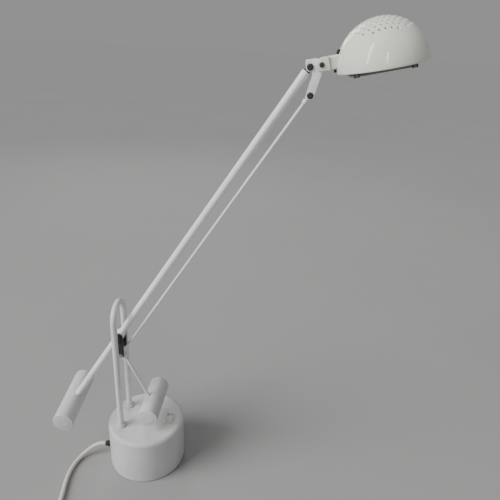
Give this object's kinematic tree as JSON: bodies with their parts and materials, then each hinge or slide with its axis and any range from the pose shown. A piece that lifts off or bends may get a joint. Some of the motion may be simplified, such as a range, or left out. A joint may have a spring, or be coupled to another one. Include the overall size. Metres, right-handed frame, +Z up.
{
  "type": "architect desk lamp",
  "caption": "Counterweighted halogen desk lamp with a round transformer base, inverted-U hoop, long balanced arm with parallel link, tilting and swivelling domed shade.",
  "frame": {"origin": "middle of the base's underside, where it rests on the desk", "axes": "+Z up, +X from the hoop towards the head, so that the arm moves in the XZ plane; the hoop stands in a plane across Y; +Y points away from the front"},
  "size_m": [0.4781, 0.2839, 0.6807],
  "materials": {
    "housing_paint": "satin light grey-white paint",
    "arm_paint": "satin light grey-white paint",
    "weight_paint": "satin light grey-white paint over solid steel",
    "shade_paint": "gloss warm white enamel over spun and cast aluminium",
    "switch_plastic": "moulded off-white plastic",
    "black_plastic": "matt black moulded plastic",
    "steel": "zinc-plated steel",
    "core_iron": "varnished laminated iron",
    "winding": "enamelled copper winding under tape",
    "terminal_ceramic": "off-white ceramic and polyamide",
    "reflector_metal": "polished and anodised",
    "clear_glass": "clear quartz",
    "cover_glass": "clear float glass with green edges",
    "rubber": "black rubber",
    "cord_sheath": "warm white PVC",
    "pin_brass": "nickel-tinted brass"
  },
  "bodies": {
    "base": {"base_housing": "housing_paint", "base_plate": "steel", "base_pad": "rubber", "base_screw_1": "steel", "base_screw_2": "steel", "base_screw_3": "steel", "transformer_core": "core_iron", "transformer_coil": "winding", "transformer_strap": "steel", "terminal_block": "terminal_ceramic", "switch_lead": "black_plastic", "switch_body": "switch_plastic", "hoop_tube": "housing_paint", "hoop_collar_front": "housing_paint", "hoop_collar_rear": "housing_paint", "hoop_nut_front": "steel", "hoop_nut_rear": "steel", "hub_axle": "steel", "axle_spacer_front": "black_plastic", "axle_spacer_rear": "black_plastic", "cord_gland": "black_plastic", "mains_cord": "cord_sheath", "cord_coil": "cord_sheath", "cord_tie": "black_plastic", "mains_cord_tail": "cord_sheath", "mains_plug": "cord_sheath", "plug_pin_1": "pin_brass", "plug_pin_2": "pin_brass"},
    "rocker": {"switch_rocker": "switch_plastic"},
    "lever": {"pivot_lever": "black_plastic", "link_pin_lower": "steel", "lever_rod": "arm_paint", "lever_counterweight": "weight_paint"},
    "arm": {"arm_tube": "arm_paint", "arm_hub": "arm_paint", "arm_counterweight": "weight_paint", "arm_end": "black_plastic"},
    "link": {"link_rod": "arm_paint", "link_eye_lower": "arm_paint", "link_eye_upper": "arm_paint"},
    "bracket": {"bracket_plate_front": "arm_paint", "bracket_plate_rear": "arm_paint", "bracket_spacer": "arm_paint", "arm_pivot_rivet": "black_plastic", "link_rivet_upper": "black_plastic", "tilt_bush": "black_plastic"},
    "knuckle": {"tilt_knuckle": "shade_paint", "tilt_rivet": "black_plastic", "swivel_stud": "steel"},
    "head": {"shade_stub": "shade_paint", "holder_bracket": "steel", "shade_shell": "shade_paint", "shade_tab_upper": "rubber", "shade_tab_lower": "rubber", "reflector": "reflector_metal", "lamp_holder": "terminal_ceramic", "halogen_bulb": "clear_glass", "lamp_lead": "black_plastic", "glass_cover": "cover_glass", "glass_frame": "steel"}
  },
  "joints": [
    {"name": "switch_rock", "type": "hinge", "parent": "base", "child": "rocker", "pos_m": [0.038, 0.002, 0.0745], "axis": [1, 0, 0], "range_deg": [0, 18]},
    {"name": "lever_tilt", "type": "hinge", "parent": "base", "child": "lever", "pos_m": [-0.0346, 0, 0.2342], "axis": [0, -1, 0], "range_deg": [-8, 8]},
    {"name": "arm_lift", "type": "hinge", "parent": "lever", "child": "arm", "pos_m": [-0.0346, 0, 0.2342], "axis": [0, -1, 0], "range_deg": [-52, 9]},
    {"name": "link_follow", "type": "hinge", "parent": "lever", "child": "link", "pos_m": [-0.0316, 0, 0.2033], "axis": [0, -1, 0], "range_deg": [-52, 9]},
    {"name": "bracket_level", "type": "hinge", "parent": "arm", "child": "bracket", "pos_m": [0.21052, 0, 0.62345], "axis": [0, -1, 0], "range_deg": [-9, 52]},
    {"name": "head_tilt", "type": "hinge", "parent": "bracket", "child": "knuckle", "pos_m": [0.22322, 0, 0.62655], "axis": [0, -1, 0], "range_deg": [-40, 40]},
    {"name": "head_swivel", "type": "hinge", "parent": "knuckle", "child": "head", "pos_m": [0.22322, 0, 0.62655], "axis": [0.9744, 0, 0.225], "range_deg": [-90, 90]}
  ],
  "couplings": [
    {"joint": "link_follow", "follows": "arm_lift", "ratio": 1},
    {"joint": "bracket_level", "follows": "arm_lift", "ratio": -1}
  ]
}
